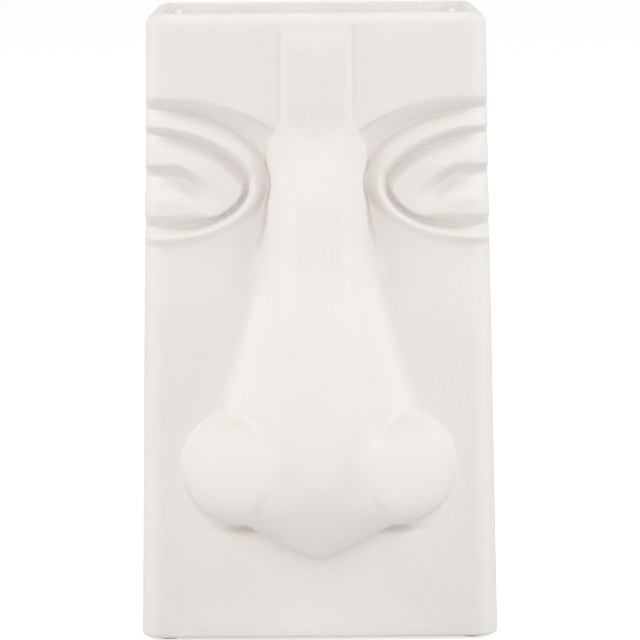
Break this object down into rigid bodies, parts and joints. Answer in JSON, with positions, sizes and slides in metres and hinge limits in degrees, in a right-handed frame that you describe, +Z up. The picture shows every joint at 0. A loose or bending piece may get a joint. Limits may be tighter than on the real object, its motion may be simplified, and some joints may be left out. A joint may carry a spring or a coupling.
{
  "type": "face vase",
  "caption": "Tall rectangular ceramic vase with an open mouth and a face in relief: a long nose, wings and half eyes that run off the front corners; it holds cut or dried flowers.",
  "frame": {"origin": "middle of the footprint, nose included, on the surface that the vase stands on", "axes": "+Z up out of the mouth, -Y out of the face, +X to the right of somebody who looks at the face"},
  "size_m": [0.1448, 0.136, 0.254],
  "materials": {
    "matte_ceramic": "matte warm white, unglazed outside",
    "gloss_glaze": "clear gloss over the same body",
    "felt": "short pressed felt"
  },
  "bodies": {
    "root": {"ceramic_body": "matte_ceramic", "glaze_lining": "gloss_glaze", "foot_pad_front_left": "felt", "foot_pad_front_right": "felt", "foot_pad_back_left": "felt", "foot_pad_back_right": "felt"}
  },
  "joints": []
}
